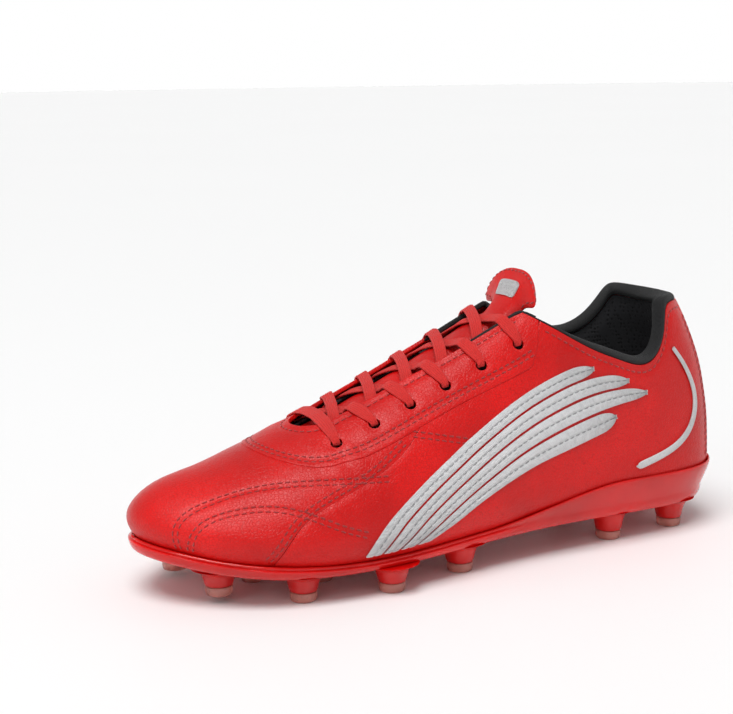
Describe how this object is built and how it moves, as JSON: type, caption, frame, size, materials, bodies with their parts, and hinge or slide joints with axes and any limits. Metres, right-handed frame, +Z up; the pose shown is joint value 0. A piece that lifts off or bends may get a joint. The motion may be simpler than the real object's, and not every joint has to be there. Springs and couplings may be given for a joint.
{
  "type": "soccer cleat",
  "caption": "Left soccer cleat: red leather upper with white side bands, padded collar, laced throat with fold-over tongue, and a moulded plate with conical studs.",
  "frame": {"origin": "middle of the footprint, on the ground the studs stand on", "axes": "+X from heel to toe, +Y to the outer (lateral) side of this left shoe, +Z up"},
  "size_m": [0.283, 0.0966, 0.1258],
  "materials": {
    "leather": "bright red pebbled leather, semi-gloss",
    "moulded_plate": "deep red moulded TPU, glossy and faintly translucent",
    "stud_tip": "pale translucent moulded tips with a cored centre",
    "satin_stitch": "white satin-stitched applique",
    "badge": "plain white embroidered patch",
    "lining": "black spacer mesh",
    "binding": "black rolled textile edge binding",
    "foam": "soft open-cell padding, hidden between shell and lining",
    "stiffener": "thermoformed stiffener sheet, hidden",
    "board": "cellulose insole board, hidden under the footbed",
    "footbed": "black brushed footbed",
    "lace": "red flat ribbed lace",
    "lace_tip": "red shrink-film lace tip"
  },
  "bodies": {
    "shoe": {"aglet_a": "lace_tip", "aglet_b": "lace_tip", "backstay": "leather", "collar_binding": "binding", "collar_foam": "foam", "eyestay": "leather", "heel_counter": "stiffener", "heel_stripe_lateral": "satin_stitch", "heel_stripe_medial": "satin_stitch", "insole_board": "board", "lace": "lace", "outsole": "moulded_plate", "quarter_lateral": "leather", "quarter_medial": "leather", "rear_lining": "lining", "side_stripe_lateral_1": "satin_stitch", "side_stripe_lateral_2": "satin_stitch", "side_stripe_lateral_3": "satin_stitch", "side_stripe_lateral_4": "satin_stitch", "side_stripe_medial_1": "satin_stitch", "side_stripe_medial_2": "satin_stitch", "side_stripe_medial_3": "satin_stitch", "side_stripe_medial_4": "satin_stitch", "sockliner": "footbed", "stud_tip_01": "stud_tip", "stud_tip_02": "stud_tip", "stud_tip_03": "stud_tip", "stud_tip_04": "stud_tip", "stud_tip_05": "stud_tip", "stud_tip_06": "stud_tip", "stud_tip_07": "stud_tip", "stud_tip_08": "stud_tip", "stud_tip_09": "stud_tip", "stud_tip_10": "stud_tip", "stud_tip_11": "stud_tip", "stud_tip_12": "stud_tip", "stud_tip_13": "stud_tip", "stud_tip_14": "stud_tip", "stud_tip_15": "stud_tip", "toe_puff": "stiffener", "tongue_foam": "foam", "tongue_lining": "lining", "tongue_shell": "leather", "vamp": "leather", "vamp_lining": "lining"},
    "tongue_flap": {"flap_shell": "leather", "flap_foam": "foam", "flap_lining": "lining", "flap_badge": "badge"}
  },
  "joints": [
    {"name": "tongue_flap_fold", "type": "hinge", "parent": "shoe", "child": "tongue_flap", "pos_m": [-0.0309, -0.0014, 0.1095], "axis": [0, 1, 0], "range_deg": [0, 60], "stiffness_Nm_per_rad": 0.12}
  ]
}
